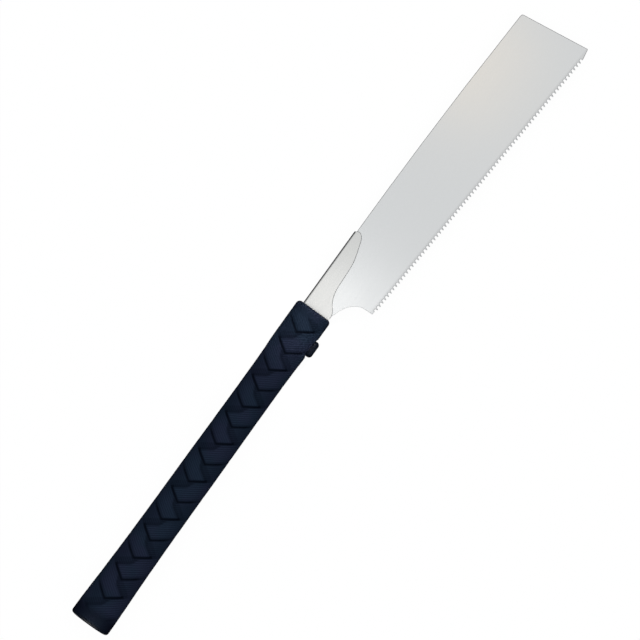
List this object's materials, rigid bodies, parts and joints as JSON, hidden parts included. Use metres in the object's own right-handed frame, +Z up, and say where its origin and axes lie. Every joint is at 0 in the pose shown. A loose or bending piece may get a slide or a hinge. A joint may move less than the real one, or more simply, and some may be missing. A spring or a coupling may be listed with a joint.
{
  "type": "flush cut saw",
  "caption": "Pull saw with a thin toothed blade, a folded steel neck, an oval braided-look rubber grip and a push button that lets the blade slide out.",
  "frame": {"origin": "centre of the flat face at the butt of the grip", "axes": "+X along the grip towards the blade's tip, +Y towards the blade's spine, +Z up, square to the blade, which lies flat"},
  "size_m": [0.53, 0.065, 0.0244],
  "materials": {
    "blade_steel": "satin, faintly brushed along the blade",
    "neck_steel": "satin pressed sheet",
    "pin_steel": "plain turned steel",
    "lock_steel": "hardened, dark",
    "spring_steel": "drawn wire",
    "button_plastic": "smooth moulded",
    "core_plastic": "moulded",
    "grip_rubber": "matt moulded, ribbed braid relief",
    "cap_plastic": "smooth moulded"
  },
  "bodies": {
    "handle": {"grip_sleeve": "grip_rubber", "core_upper": "core_plastic", "core_lower": "core_plastic", "core_screws": "pin_steel", "neck": "neck_steel", "neck_rivets": "pin_steel", "stop_pin": "pin_steel", "lock_pivot_pin": "pin_steel", "lock_spring": "spring_steel", "end_cap": "cap_plastic", "cap_pin": "pin_steel"},
    "saw_blade": {"blade": "blade_steel"},
    "button": {"release_button": "button_plastic"},
    "lock": {"lock_plate": "lock_steel"}
  },
  "joints": [
    {"name": "blade_slide", "type": "slide", "parent": "handle", "child": "saw_blade", "axis": [1, 0, 0], "range_m": [0, 0.13]},
    {"name": "button_press", "type": "slide", "parent": "handle", "child": "button", "axis": [0, 1, 0], "range_m": [0, 0.003], "stiffness_N_per_m": 700, "springref_m": -0.003},
    {"name": "lock_tilt", "type": "hinge", "parent": "handle", "child": "lock", "pos_m": [0.2401, 0.007, 0], "axis": [0, 0, -1], "range_deg": [0, 9], "deforming": ["lock_spring"]}
  ],
  "couplings": [
    {"joint": "lock_tilt", "follows": "button_press", "rad_per_m": 52.36}
  ]
}
